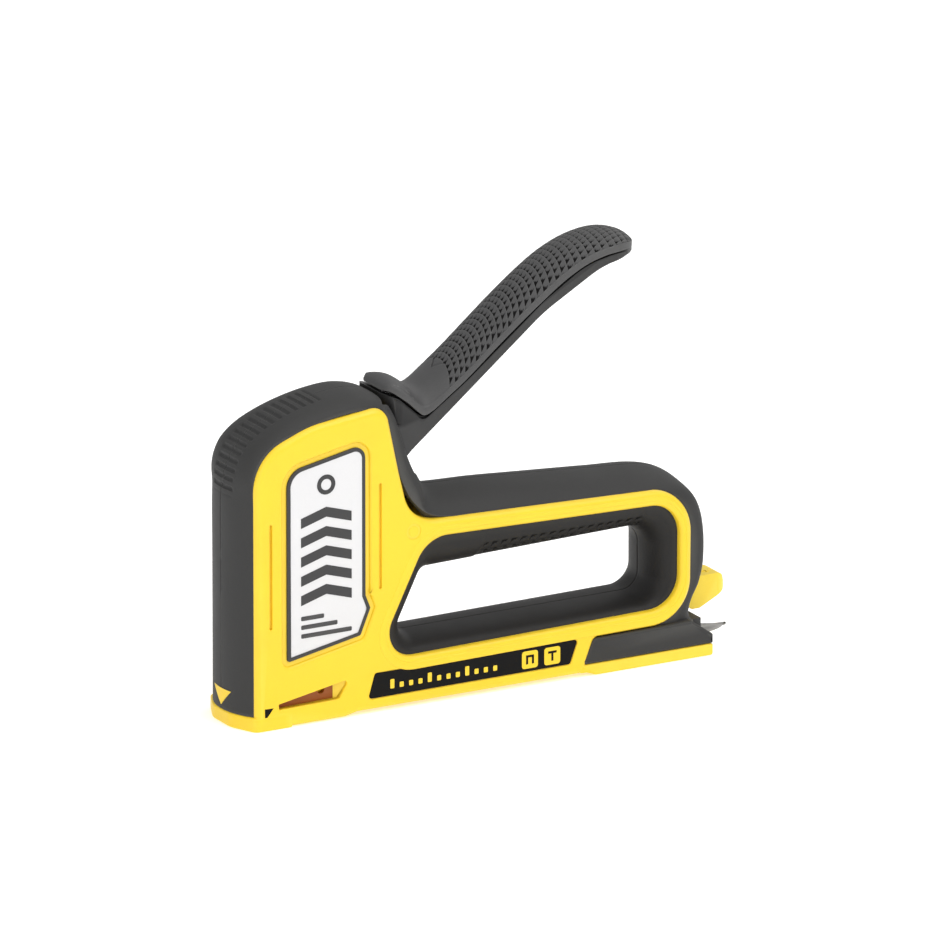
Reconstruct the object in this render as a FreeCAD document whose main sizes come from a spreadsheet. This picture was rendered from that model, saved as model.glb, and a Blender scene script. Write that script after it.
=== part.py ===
"""Hand-held staple gun (lever tacker), as a FreeCAD 1.1 parametric document.

Millimetres, +Z up.  The nose points to -X, the hand hole and the rear foot lie towards +X, and the
mid-plane between the two housing halves is Y = 0.  Every sub-part is drawn in tool coordinates, whose
X starts at the front of the side faces, and is placed so that the origin is under the middle of the
whole tool, on the work surface.
"""
import FreeCAD, Part
import math
import os
import re
import Sketcher
from FreeCAD import Placement, Rotation, Vector

os.makedirs("parts", exist_ok=True)
doc = FreeCAD.newDocument("StapleGun")

# ---------------------------------------------------------------- driving dimensions
SIZES = {
    # overall
    "middle_x": 91.0, "half_width": 16.0, "side_wall": 2.0,
    # overmould, hand-hole liner and decals
    "mould_half": 14.5, "liner_half": 13.8, "label_seat": 1.2, "label_proud": 0.9,
    "plate_proud": 0.6, "decal_deep": 0.3, "window_deep": 4.5,
    # lever
    "pivot_x": 46.0, "pivot_z": 86.0, "pin_radius": 2.5, "pin_fit": 0.06, "hub_radius": 8.5,
    "arm_half": 3.0, "arm_hub": 6.2, "lever_half": 12.0, "lever_body_half": 11.8, "slot_half": 12.5,
    "hub_hollow": 6.6, "hub_hollow_half": 10.0, "boss_radius": 5.0, "boss_gap": 12.2,
    "return_wire": 1.2, "return_mean": 4.0,
    # driver
    "blade_front": 4.1, "blade_thick": 1.0, "blade_half": 5.6, "blade_low": 0.8, "blade_top": 58.0,
    "guide_front": 2.9, "guide_half": 9.0, "guide_low": 1.0, "guide_top": 60.0, "guide_gap": 0.3,
    "spring_x": 13.5, "spring_mean": 5.9, "spring_wire": 2.2, "hammer_low": 45.4, "hammer_top": 49.4,
    "hammer_half": 7.5, "strap_front": 24.0, "strap_back": 26.0, "strap_half": 6.0, "strap_top": 84.0,
    "window_low": 75.2, "window_top": 82.2, "cap_low": 87.0, "cap_top": 89.5, "bumper_low": 40.0,
    "bumper_top": 45.0,
    # magazine
    "mag_front": 6.8, "mag_back": 165.5, "mag_low": 1.5, "mag_top": 10.9, "mag_half": 7.2,
    "mag_wall": 0.9, "tunnel_half": 8.3, "tunnel_top": 11.4, "rail_half": 4.4, "rail_top": 9.6,
    "rail_wall": 0.8, "rod_radius": 1.0, "rod_z": 5.6, "pusher_wire": 0.5, "pusher_mean": 1.8,
    "pusher_front": 9.0, "pusher_long": 18.0, "pusher_ring": 6.0, "cap_back": 171.8,
    "lifter_low": 4.4, "lifter_thick": 1.2,
    # latch
    "latch_x": 158.4, "latch_z": 19.3, "latch_pin": 1.2, "latch_half": 5.0, "latch_hub": 2.4,
    "latch_slot": 5.4, "latch_wire": 0.6, "latch_mean": 1.8,
    # screws
    "screw_radius": 1.5, "screw_head": 2.6, "screw_boss": 3.2,
}

sheet = doc.addObject("Spreadsheet::Sheet", "dims")
for row, (alias, number) in enumerate(SIZES.items(), start=1):
    sheet.set("A%d" % row, alias.replace("_", " "))
    sheet.set("B%d" % row, str(number))
    sheet.setAlias("B%d" % row, alias)
doc.recompute()


def size(alias):
    """The number in the sheet's cell with this alias."""
    return float(sheet.get(alias))


# ---------------------------------------------------------------- building blocks
def bind(item, **paths):
    """Bind properties to expressions of sheet aliases; a double underscore stands for a dot."""
    for path, expression in paths.items():
        item.setExpression(path.replace("__", "."), re.sub(r"([a-z][a-z_]+)", r"dims.\1", expression))


def block(name, x, y, z):
    """Box between pairs of expressions along X, Y and Z."""
    item = doc.addObject("Part::Box", name)
    bind(item, Length="(%s) - (%s)" % (x[1], x[0]), Width="(%s) - (%s)" % (y[1], y[0]),
         Height="(%s) - (%s)" % (z[1], z[0]), Placement__Base__x=x[0], Placement__Base__y=y[0],
         Placement__Base__z=z[0])
    return item


AXES = {"x": Vector(1, 0, 0), "y": Vector(0, 1, 0), "z": Vector(0, 0, 1)}


def rod(name, axis, start, radius, length):
    """Cylinder along an axis from a start point; all values are expressions."""
    item = doc.addObject("Part::Cylinder", name)
    item.Placement = Placement(Vector(), Rotation(Vector(0, 0, 1), AXES[axis]))
    bind(item, Radius=radius, Height=length, Placement__Base__x=start[0],
         Placement__Base__y=start[1], Placement__Base__z=start[2])
    return item


def corner_edges(corners):
    """Straight sides and corner arcs of a closed outline given as (u, v, radius) corners."""
    points = [Vector(u, v, 0) for u, v, _ in corners]
    trims = []
    for i, (_, _, radius) in enumerate(corners):
        into = (points[i] - points[i - 1]).normalize()
        out = (points[(i + 1) % len(points)] - points[i]).normalize()
        turn = into.getAngle(out)
        cut_back = radius * math.tan(turn / 2)
        first = points[i] - into * cut_back
        last = points[i] + out * cut_back
        inward = (out - into).normalize() if turn > 1e-6 else Vector()
        nearest = points[i] + inward * (radius / math.cos(turn / 2) - radius)
        trims.append((first, nearest, last, radius > 0 and turn > 1e-3))
    edges = []
    for i, (first, nearest, last, rounded) in enumerate(trims):
        if rounded:
            edges.append(Part.Arc(first, nearest, last))
        following = trims[(i + 1) % len(trims)][0]
        side = points[(i + 1) % len(points)] - points[i]
        if (following - last).dot(side) < 0:
            raise ValueError("corner radii too large between %s and %s" % (points[i], following))
        if last.distanceToPoint(following) > 1e-4:
            edges.append(Part.LineSegment(last, following))
    return edges


def outline(name, corners, plane="XZ"):
    """Sketch of a closed outline in the XZ plane, or in the XY plane for a plan view."""
    item = doc.addObject("Sketcher::SketchObject", name)
    if plane == "XZ":
        item.Placement = Placement(Vector(), Rotation(Vector(1, 0, 0), 90))
    edges = corner_edges(corners)
    item.addGeometry(edges, False)
    for i in range(len(edges)):
        item.addConstraint(Sketcher.Constraint("Block", i))
    return item


def prism(name, sketch, direction, length, start="0"):
    """Solid swept from a sketch along a direction; start shifts it along the same direction."""
    item = doc.addObject("Part::Extrusion", name)
    item.Base = sketch
    item.DirMode = "Custom"
    item.Dir = direction
    item.Solid = True
    bind(item, LengthFwd=length)
    for letter, share in zip("xyz", direction):
        if share and start != "0":
            bind(item, **{"Placement__Base__" + letter: "(%s) * %g" % (start, share)})
    return item


def slab(name, corners, half):
    """Prism centred on the mid-plane."""
    item = prism(name, outline(name + "_outline", corners), Vector(0, 1, 0), "2 * (%s)" % half)
    bind(item, Placement__Base__y="-(%s)" % half)
    return item


def cut(name, base, *tools):
    """Take each tool from the base in turn; the last cut carries the name."""
    for number, tool in enumerate(tools, start=1):
        step = name if number == len(tools) else "%s_step_%d" % (name, number)
        item = doc.addObject("Part::Cut", step)
        item.Base = base
        item.Tool = tool
        base = item
    return base


def fuse(name, *pieces):
    item = doc.addObject("Part::MultiFuse", name)
    item.Shapes = list(pieces)
    item.Refine = True
    return item


def common(name, *pieces):
    item = doc.addObject("Part::MultiCommon", name)
    item.Shapes = list(pieces)
    return item


def coil(name, axis, start, mean, wire, pitch, length):
    """Round-wire helical spring; start is the centre of its first turn."""
    spine = doc.addObject("Part::Helix", name + "_line")
    bind(spine, Radius=mean, Pitch=pitch, Height=length)
    section = doc.addObject("Part::Circle", name + "_section")
    section.Placement = Placement(Vector(), Rotation(Vector(1, 0, 0), 90))
    bind(section, Radius="(%s) / 2" % wire, Placement__Base__x=mean)
    doc.recompute()
    item = doc.addObject("Part::Sweep", name)
    item.Sections = [section]
    item.Spine = (spine, ["Edge%d" % (i + 1) for i in range(len(spine.Shape.Edges))])
    item.Solid = True
    item.Frenet = True
    item.Placement = Placement(Vector(*start), Rotation(Vector(0, 0, 1), AXES[axis]))
    return item


parts = []


def sub_part(item, label):
    """Name a finished sub-part and shift it from tool coordinates to the tool's own origin."""
    item.Label = label
    bound = {path.lstrip("."): expression for path, expression in item.ExpressionEngine}
    own_x = bound.get("Placement.Base.x", "%g" % item.Placement.Base.x)
    item.setExpression("Placement.Base.x", "%s - dims.middle_x" % own_x)
    parts.append(item)
    return item


# ---------------------------------------------------------------- outlines (x, z, corner radius)
# Yellow side face of the housing, from the foot under the nose round to the rear foot.
SIDE_FACE = [
    (-4, 0, 0), (-4, 5, 0), (0.8, 5, 0), (0.8, 93.5, 17), (22, 101.5, 40), (49.5, 104.6, 6),
    (54.5, 81, 20), (59, 63.1, 12), (164.4, 59.6, 16), (164, 13.3, 15), (127, 12.8, 1.5),
    (122.6, 4.2, 1), (172.3, 4.2, 0), (172.3, 0, 0), (128, 0, 0), (124, 1.2, 0), (39, 1.2, 0),
    (34.5, 0, 0),
]
# Crest of the rubber overmould on the mid-plane.
MOULD_CREST = [
    (-4, 5, 0), (-4, 97.5, 19), (24, 107, 50), (50, 109, 4), (54.5, 97.5, 8), (61, 84, 20),
    (66.5, 70.8, 7), (171.5, 63.6, 18), (171.5, 29, 14), (166, 12.5, 0), (168.4, 10.2, 0),
    (172.3, 7.4, 0), (172.3, 4.2, 0),
]
# Block at the rear that the overmould covers out to the side faces.
REAR_BLOCK = [
    (164, 13.3, 1), (127, 12.8, 1.5), (122.6, 4.2, 1), (172.3, 4.2, 0), (172.3, 7.4, 1),
    (168.4, 10.2, 1),
]
# Hand hole: edge of the yellow loop, and the crown of the liner inside it.
HOLE_EDGE = [(45.3, 17.1, 9), (65, 57, 12), (159.8, 54.6, 11), (159.6, 18.9, 11)]
HOLE_CREST = [(55.6, 22, 5), (66, 43.2, 5), (152.2, 45.3, 7), (152.2, 22.4, 6)]
# Room for the spring and lever inside the head and neck.
HEAD_HOLLOW = [
    (2.8, 16, 0), (2.8, 92.3, 15), (22, 99.4, 36), (47.8, 102.2, 4), (52.4, 81, 18), (56.4, 63, 6),
    (56.3, 45.5, 3), (48.6, 29.8, 6), (48.6, 16, 0),
]
# Plan of the housing: the nose is rounded across its width.
HOUSING_PLAN = [
    (-4, -6, 10), (0.6, -16, 3), (173, -16, 0), (173, 16, 0), (0.6, 16, 3), (-4, 6, 10),
]
LABEL = [
    (12.4, 22.2, 1), (12.4, 87.3, 7), (41.7, 93, 4), (41.7, 41.1, 0.5), (43.5, 36.5, 0.5),
    (39.8, 27.5, 1),
]
DECAL = [(42.5, 5.2, 1), (45, 13.7, 1), (121, 13.5, 1), (118, 5.4, 1)]
WINDOW = [(9.3, 6.7, 0.3), (9.1, 8.5, 0.3), (35.4, 13.3, 1), (31.5, 7, 1)]
# Line between the lever's hard body and its soft grip, from the head end to the tip.
LEVER_SPLIT = [
    (50.9, 108.6, 0), (56.3, 105.9, 8), (65.2, 97.4, 2.5), (81.6, 108.5, 30), (110.5, 131.2, 40),
    (126, 141, 30), (138, 143.6, 20), (149.2, 142.2, 0),
]
LEVER_CREST = [
    (146, 146.2, 2.5), (134, 149, 14), (117, 143.2, 30), (84.3, 118, 40), (66.5, 103.6, 5),
    (60.5, 110.6, 3.5), (51.2, 110.9, 1.2),
]
LEVER_UNDER = [
    (145, 139.6, 4), (133, 139.6, 30), (110.2, 126.6, 60), (60.7, 86.7, 6), (54, 80, 3), (46, 78, 0),
    (46, 94.4, 0), (50.9, 97.5, 0.5),
]
LEVER_PLAN = [(37, -12, 3), (149.4, -12, 10), (149.4, 12, 10), (37, 12, 3)]
ARM_FRONT = [(47.5, 81.8, 0), (44.5, 90.2, 0), (24.2, 80.8, 0), (25.6, 76.6, 0)]
ARM_BACK = [(44, 88, 0), (47, 83, 0), (62.9, 91.1, 3), (107, 126.5, 1), (104.2, 130, 1),
            (60.2, 94.6, 3)]
LATCH = [
    (158.4, 17.1, 0), (162.1, 16.8, 0.3), (162.9, 11.3, 0.3), (165, 11.3, 0.3), (165.6, 15, 0.5),
    (169.3, 15, 1), (172.4, 11.5, 0.6), (176, 11.5, 1), (184.2, 18.1, 1.2), (177.4, 24.5, 1),
    (172.6, 24.4, 1), (168.6, 22.3, 1), (158.4, 21.7, 0),
]
LATCH_ROOM = [
    (158.2, 16.2, 0), (161.4, 16.2, 0), (161.4, 11, 0), (176, 11, 0), (176, 25.8, 0), (162, 25, 0),
    (158.2, 22.1, 0),
]
LIFTER = [(167, -3, 0), (171.8, -3, 0), (174.5, -4.2, 1), (187.1, 0, 0.6), (174.5, 4.2, 1),
          (171.8, 3, 0), (167, 3, 0)]

SIDES = {"left": -1, "right": 1}


def half_prism(name, corners, side, depth, start="0"):
    """Prism from the mid-plane, or from start, out towards one side."""
    return prism(name, outline(name + "_outline", corners), Vector(0, side, 0), depth, start)


def across(low, high, side):
    """Pair of Y expressions for a stretch from low to high on one side."""
    return (low, high) if side > 0 else ("-(%s)" % high, "-(%s)" % low)


def bevelled(name, solid, level, above, bevel):
    """Chamfer the edges of a prism that lie in the plane Y = level and reach above a height."""
    doc.recompute()
    chosen = [i + 1 for i, edge in enumerate(solid.Shape.Edges)
              if abs(edge.BoundBox.YMin - level) < 1e-3 and abs(edge.BoundBox.YMax - level) < 1e-3
              and edge.BoundBox.ZMax > above]
    item = doc.addObject("Part::Chamfer", name)
    item.Base = solid
    item.Edges = [(number, bevel, bevel) for number in chosen]
    return item


# ---------------------------------------------------------------- housing
SCREWS = [(9.0, 27.0), (36.0, 97.5), (46.2, 22.0), (57.6, 60.5), (112.0, 58.5), (161.4, 40.0)]
BOSSED = SCREWS[:3]
PLAN_HEIGHT = "120"


def plan_limit(name):
    """Tall solid with the housing's rounded plan."""
    return prism(name, outline(name + "_outline", HOUSING_PLAN, "XY"), Vector(0, 0, 1), PLAN_HEIGHT)


def tunnel(name):
    """Magazine tunnel: closed under the nose, open underneath behind it."""
    return fuse(
        name,
        block(name + "_run", ("mag_front - 1.3", "174"), ("-tunnel_half", "tunnel_half"),
              ("1.3", "tunnel_top")),
        block(name + "_open", ("36", "174"), ("-tunnel_half", "tunnel_half"), ("-1", "2")))


def latch_room(name):
    return fuse(
        name,
        slab(name + "_side", LATCH_ROOM, "latch_slot"),
        rod(name + "_hub", "y", ("latch_x", "-latch_slot", "latch_z"), "latch_hub + 0.4",
            "2 * latch_slot"))


def lever_room(name):
    return block(name, ("49", "72"), ("-slot_half", "slot_half"), ("75.5", "112"))


def shell(word, side):
    """Hollow half of the housing, with bosses, ledges and seats for what it holds."""
    tag = word + "_shell"
    skin = cut(
        tag + "_skin",
        common(tag + "_rounded", half_prism(tag + "_side", SIDE_FACE, side, "half_width"),
               plan_limit(tag + "_plan")),
        half_prism(tag + "_hand_hole", HOLE_EDGE, side, "half_width + 1"),
        half_prism(tag + "_hollow", HEAD_HOLLOW, side, "half_width - side_wall"))
    inner = "half_width - side_wall + 0.1"
    fittings = [
        block(tag + "_bumper_ledge", ("6.5", "23"), across("0", inner, side),
              ("bumper_low - 2.5", "bumper_low")),
        block(tag + "_cap_ledge", ("7.5", "20.5"), across("0", inner, side),
              ("cap_top", "cap_top + 3")),
        rod(tag + "_pivot_boss", "y", ("pivot_x", across("boss_gap", inner, side)[0], "pivot_z"),
            "boss_radius", "half_width - side_wall + 0.1 - boss_gap"),
    ]
    for number, (x, z) in enumerate(BOSSED):
        fittings.append(rod("%s_boss_%d" % (tag, number), "y",
                            (str(x), across("0", inner, side)[0], str(z)),
                            "screw_boss", inner))
    openings = [
        tunnel(tag + "_tunnel"), latch_room(tag + "_latch_room"), lever_room(tag + "_lever_room"),
        block(tag + "_guide_room", ("guide_front - 0.05", "6"),
              ("-guide_half - 0.1", "guide_half + 0.1"),
              ("guide_low", "17")),
        block(tag + "_exit", ("blade_front - 0.3", "blade_front + blade_thick + 0.9"),
              ("-6.4", "6.4"), ("-1", "2")),
        rod(tag + "_pin_hole", "y", ("pivot_x", across("0", "13.6", side)[0], "pivot_z"),
            "pin_radius", "13.6"),
        rod(tag + "_latch_pin_hole", "y", ("latch_x", across("0", "8", side)[0], "latch_z"),
            "latch_pin", "8"),
        half_prism(tag + "_label_seat", LABEL, side, "5", "half_width - label_seat"),
        half_prism(tag + "_decal_seat", DECAL, side, "5", "half_width - decal_deep"),
        half_prism(tag + "_window", WINDOW, side, "window_deep + 1", "half_width - window_deep"),
    ]
    for number, (x, z) in enumerate(SCREWS):
        low, high = across("0", "12" if side < 0 else "20", side)
        openings.append(rod("%s_screw_%d" % (tag, number), "y", (str(x), low, str(z)),
                            "screw_radius", high + " - " + low))
        if side > 0:
            openings.append(rod("%s_head_%d" % (tag, number), "y", (str(x), "half_width - 2.2", str(z)),
                                "screw_head", "5"))
    sub_part(cut(tag, fuse(tag + "_moulding", skin, *fittings), *openings), tag)


def overmould(word, side):
    """Rubber band round the outside of one half, crowned by a bevel, with the rear block."""
    tag = word + "_overmold"
    level = side * size("mould_half")
    band = bevelled(tag + "_band", half_prism(tag + "_crest", MOULD_CREST, side, "mould_half"),
                    level, 12.6, 3.4)
    sub_part(
        cut(tag,
            common(tag + "_rounded",
                   fuse(tag + "_solid", band,
                        half_prism(tag + "_block", REAR_BLOCK, side, "half_width")),
                   plan_limit(tag + "_plan")),
            half_prism(tag + "_inside", SIDE_FACE, side, "half_width + 1"),
            tunnel(tag + "_tunnel"), latch_room(tag + "_latch_room"), lever_room(tag + "_lever_room"),
            half_prism(tag + "_hand_hole", HOLE_EDGE, side, "half_width + 1")),
        tag)


def liner(word, side):
    """Soft lining of one half of the hand hole."""
    tag = word + "_hole_liner"
    sub_part(cut(tag, half_prism(tag + "_ring", HOLE_EDGE, side, "liner_half"),
                 half_prism(tag + "_opening", HOLE_CREST, side, "liner_half + 1")), tag)


def inset(corners, amount, centre):
    """Outline drawn in towards a centre by about the given amount on each side."""
    cx, cz = centre
    return [(x + math.copysign(amount, cx - x), z + math.copysign(amount, cz - z),
             max(radius - amount, 0.3))
            for x, z, radius in corners]


def label(word, side):
    """Framed label plate in its seat on one side face."""
    plate = inset(LABEL, 1.4, (27, 60))
    floor = "half_width - label_seat"
    sub_part(cut(word + "_label_frame",
                 half_prism(word + "_frame_edge", LABEL, side, "label_proud", floor),
                 half_prism(word + "_frame_opening", plate, side, "label_proud + 1",
                            floor)), word + "_label_frame")
    sub_part(half_prism(word + "_label_plate", plate, side, "plate_proud", floor),
             word + "_label_plate")
    sub_part(half_prism(word + "_base_decal", DECAL, side, "decal_deep", "half_width - decal_deep"),
             word + "_base_decal")


for word, side in SIDES.items():
    shell(word, side)
    overmould(word, side)
    liner(word, side)
    label(word, side)

screws = []
for number, (x, z) in enumerate(SCREWS):
    screws.append(rod("screw_shank_%d" % number, "y", (str(x), "-12", str(z)), "screw_radius - 0.1",
                      "26"))
    screws.append(rod("screw_head_%d" % number, "y", (str(x), "half_width - 2.2", str(z)),
                      "screw_head - 0.1", "1.8"))
sub_part(fuse("housing_screws", *screws), "housing_screws")

sub_part(
    cut("nose_guide",
        block("guide_plate", ("guide_front", "blade_front + blade_thick + guide_gap"),
              ("-guide_half", "guide_half"), ("guide_low", "guide_top")),
        block("guide_channel", ("blade_front - 0.1", "20"),
              ("-blade_half - guide_gap", "blade_half + guide_gap"),
              ("-1", "guide_top + 1"))),
    "nose_guide")
sub_part(block("bumper", ("6.5", "22"), ("-8", "8"), ("bumper_low", "bumper_top")), "bumper")
sub_part(
    fuse("spring_cap",
         block("cap_plate", ("7.5", "20.5"), ("-7.5", "7.5"), ("cap_low", "cap_top")),
         rod("cap_stub", "z", ("spring_x", "0", "cap_low - 15"), "3.5", "16")),
    "spring_cap")
sub_part(rod("lever_pivot_pin", "y", ("pivot_x", "-13.5", "pivot_z"), "pin_radius", "27"),
         "lever_pivot_pin")
sub_part(rod("latch_pin_rod", "y", ("latch_x", "-7.9", "latch_z"), "latch_pin", "15.8"), "latch_pin")

# ---------------------------------------------------------------- lever


def lever_arm_solid(name):
    """Steel arm: round tip, hub with the pin bore and the bar inside the lever."""
    return cut(
        name,
        fuse(name + "_solid",
             rod(name + "_tip", "y", ("24.9", "-arm_half", "78.7"), "2.2", "2 * arm_half"),
             rod(name + "_hub", "y", ("pivot_x", "-arm_half", "pivot_z"), "arm_hub", "2 * arm_half"),
             slab(name + "_front", ARM_FRONT, "arm_half"), slab(name + "_back", ARM_BACK, "arm_half")),
        rod(name + "_bore", "y", ("pivot_x", "-arm_half - 1", "pivot_z"), "pin_radius + pin_fit",
            "2 * arm_half + 2"))


def lever_plan(name):
    item = prism(name, outline(name + "_outline", LEVER_PLAN, "XY"), Vector(0, 0, 1), "160")
    return item


def arm_seat(name):
    """Room for the arm inside the lever, without the bore."""
    return slab(name, ARM_BACK, "arm_half")


sub_part(lever_arm_solid("lever_arm"), "lever_arm")
body_side = LEVER_SPLIT + LEVER_UNDER
grip_side = LEVER_CREST + LEVER_SPLIT
sub_part(
    cut("lever_body",
        common("lever_body_solid", lever_plan("lever_body_plan"),
               fuse("lever_body_side", slab("lever_body_bar", body_side, "lever_body_half"),
                    rod("lever_body_hub", "y", ("pivot_x", "-lever_body_half", "pivot_z"), "hub_radius",
                        "2 * lever_body_half"))),
        rod("hub_hollow", "y", ("pivot_x", "-hub_hollow_half", "pivot_z"), "hub_hollow",
            "2 * hub_hollow_half"),
        block("arm_way", ("30", "pivot_x"), ("-arm_half - 0.3", "arm_half + 0.3"), ("70", "100")),
        rod("body_bore", "y", ("pivot_x", "-lever_body_half - 1", "pivot_z"), "pin_radius + pin_fit",
            "2 * lever_body_half + 2"),
        arm_seat("body_arm_seat")),
    "lever_body")
sub_part(
    cut("lever_grip",
        common("lever_grip_solid", lever_plan("lever_grip_plan"),
               slab("lever_grip_side", grip_side, "lever_half")),
        arm_seat("grip_arm_seat")),
    "lever_grip")
sub_part(coil("lever_return_spring", "y", (size("pivot_x"), 4.4, size("pivot_z")), "return_mean",
              "return_wire",
              "1.35", "4.6"), "lever_return_spring")

# ---------------------------------------------------------------- driver
sub_part(block("driver_blade", ("blade_front", "blade_front + blade_thick"),
               ("-blade_half", "blade_half"),
               ("blade_low", "blade_top")), "driver_blade")
sub_part(
    cut("hammer_carrier",
        fuse("hammer_solid",
             block("hammer_seat", ("blade_front + blade_thick", "strap_back"),
                   ("-hammer_half", "hammer_half"),
                   ("hammer_low", "hammer_top")),
             block("hammer_strap", ("strap_front", "strap_back"), ("-strap_half", "strap_half"),
                   ("hammer_low", "strap_top"))),
        block("hammer_window", ("strap_front - 1", "strap_back + 1"),
              ("-arm_half - 0.6", "arm_half + 0.6"),
              ("window_low", "window_top")),
        block("hammer_clearance", ("0", "6.2"), ("-20", "-blade_half"), ("40", "60")),
        block("hammer_clearance_2", ("0", "6.2"), ("blade_half", "20"), ("40", "60"))),
    "hammer_carrier")
sub_part(coil("power_spring", "z", (size("spring_x"), 0, size("hammer_top") + 1.2), "spring_mean",
              "spring_wire",
              "4.9", "cap_low - hammer_top - 2.4"), "power_spring")

# ---------------------------------------------------------------- magazine
MAG_X = ("mag_front", "mag_back")
sub_part(
    cut("magazine_channel",
        block("channel_solid", MAG_X, ("-mag_half", "mag_half"), ("mag_low", "mag_top")),
        block("channel_inside", ("mag_front - 1", "mag_back + 1"),
              ("-mag_half + mag_wall", "mag_half - mag_wall"),
              ("mag_low + mag_wall", "mag_top + 1"))),
    "magazine_channel")
sub_part(
    fuse("core_rail",
         cut("rail_body",
             block("rail_solid", MAG_X, ("-rail_half", "rail_half"),
                   ("mag_low + mag_wall", "rail_top")),
             block("rail_inside", ("mag_front - 1", "mag_back + 1"),
                   ("-rail_half + rail_wall", "rail_half - rail_wall"),
                   ("0", "rail_top - rail_wall")),
             block("rail_slot", ("pusher_front - 0.6", "125"), ("-0.9", "0.9"), ("5", "12"))),
         block("rail_end", ("mag_front", "mag_front + 1"),
               ("-rail_half + rail_wall", "rail_half - rail_wall"),
               ("mag_low + mag_wall", "rail_top - rail_wall"))),
    "core_rail")
sub_part(rod("pusher_rod_bar", "x", ("mag_front + 1", "0", "rod_z"), "rod_radius",
             "mag_back - mag_front - 1"),
         "pusher_rod")
sub_part(coil("pusher_spring", "x", (16, 0, size("rod_z")), "pusher_mean", "pusher_wire", "6.5", "147"),
         "pusher_spring")
sub_part(
    cut("magazine_end_cap",
        block("end_cap_solid", ("mag_back", "cap_back"), ("-8", "8"), ("mag_low", "mag_top")),
        block("lifter_seat", ("167", "180"), ("-3", "3"), ("lifter_low", "lifter_low + lifter_thick"))),
    "magazine_end_cap")
lifter = prism("lifter_blade", outline("lifter_outline", LIFTER, "XY"), Vector(0, 0, 1),
               "lifter_thick", "lifter_low")
sub_part(lifter, "staple_lifter")
PUSHER_X = ("pusher_front", "pusher_front + pusher_long")
RING_X = ("pusher_front", "pusher_front + pusher_ring")
sub_part(
    cut("pusher",
        fuse("pusher_solid",
             cut("pusher_saddle",
                 block("saddle_solid", PUSHER_X, ("-6", "6"), ("mag_low + mag_wall + 0.3", "mag_top")),
                 block("saddle_inside", ("0", "200"), ("-rail_half - 0.3", "rail_half + 0.3"),
                       ("0", "rail_top + 0.3"))),
             block("pusher_web", RING_X, ("-0.6", "0.6"), ("rod_z", "mag_top")),
             rod("pusher_ring_solid", "x", ("pusher_front", "0", "rod_z"), "2.6", "pusher_ring")),
        rod("pusher_bore", "x", ("0", "0", "rod_z"), "rod_radius + pin_fit", "200")),
    "pusher")

# ---------------------------------------------------------------- latch
sub_part(
    cut("magazine_latch",
        fuse("latch_solid", slab("latch_side", LATCH, "latch_half"),
             rod("latch_hub_solid", "y", ("latch_x", "-latch_half", "latch_z"), "latch_hub",
                 "2 * latch_half")),
        rod("latch_bore", "y", ("latch_x", "-8", "latch_z"), "latch_pin + pin_fit", "16"),
        block("latch_fork", ("150", "161.6"), ("-2.4", "2.4"), ("10", "30"))),
    "magazine_latch")
sub_part(coil("latch_spring", "y", (size("latch_x"), -1.5, size("latch_z")), "latch_mean",
              "latch_wire", "0.8", "3"),
         "latch_spring")

# ---------------------------------------------------------------- checks and files
doc.recompute()
for item in doc.Objects:
    if "Invalid" in item.State or "Error" in item.State:
        raise RuntimeError("%s did not compute: %s" % (item.Name, item.State))
for item in parts:
    if item.Shape.isNull() or not item.Shape.isValid() or not item.Shape.Solids:
        raise RuntimeError("%s has no valid solid" % item.Label)
for item in parts:
    item.Shape.exportStep("parts/%s.step" % item.Label)
    box = item.Shape.BoundBox
    print("%-22s solids %d  volume %8.0f  x %6.1f..%6.1f  y %5.1f..%5.1f  z %5.1f..%5.1f"
          % (item.Label, len(item.Shape.Solids), item.Shape.Volume, box.XMin, box.XMax, box.YMin,
             box.YMax,
             box.ZMin, box.ZMax))
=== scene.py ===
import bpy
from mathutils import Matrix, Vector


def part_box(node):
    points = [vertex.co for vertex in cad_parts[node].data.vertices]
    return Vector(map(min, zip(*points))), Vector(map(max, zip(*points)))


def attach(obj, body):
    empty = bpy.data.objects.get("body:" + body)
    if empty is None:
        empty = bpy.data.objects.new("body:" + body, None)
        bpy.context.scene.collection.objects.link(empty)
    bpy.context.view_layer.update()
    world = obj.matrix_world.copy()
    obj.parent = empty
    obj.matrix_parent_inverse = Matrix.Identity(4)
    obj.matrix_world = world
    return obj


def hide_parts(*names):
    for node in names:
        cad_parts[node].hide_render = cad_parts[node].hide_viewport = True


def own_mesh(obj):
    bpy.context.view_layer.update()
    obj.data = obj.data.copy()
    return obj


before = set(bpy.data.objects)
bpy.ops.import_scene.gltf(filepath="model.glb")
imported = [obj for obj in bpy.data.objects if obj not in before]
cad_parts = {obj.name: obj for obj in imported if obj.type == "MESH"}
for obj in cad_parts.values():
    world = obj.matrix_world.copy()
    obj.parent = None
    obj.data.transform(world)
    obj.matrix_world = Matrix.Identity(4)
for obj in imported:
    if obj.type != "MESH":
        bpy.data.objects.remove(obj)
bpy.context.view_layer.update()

import math

import bmesh
import bpy
import numpy as np
from mathutils import Vector

# The tool is drawn in millimetres: x back from the front of the side faces, y from the mid-plane
# (negative on the left side), z up from the work surface.  place() puts points into the frame.
MM = 0.001
LEFT_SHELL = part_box("left_shell")
NOSE_X = LEFT_SHELL[0][0] / MM + 4.0          # frame x of the drawing's x = 0
HALF = 16.0                                    # half the housing's width


def place(points):
    """Drawing coordinates in millimetres to frame coordinates in metres."""
    return [((x + NOSE_X) * MM, y * MM, z * MM) for x, y, z in points]


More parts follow.
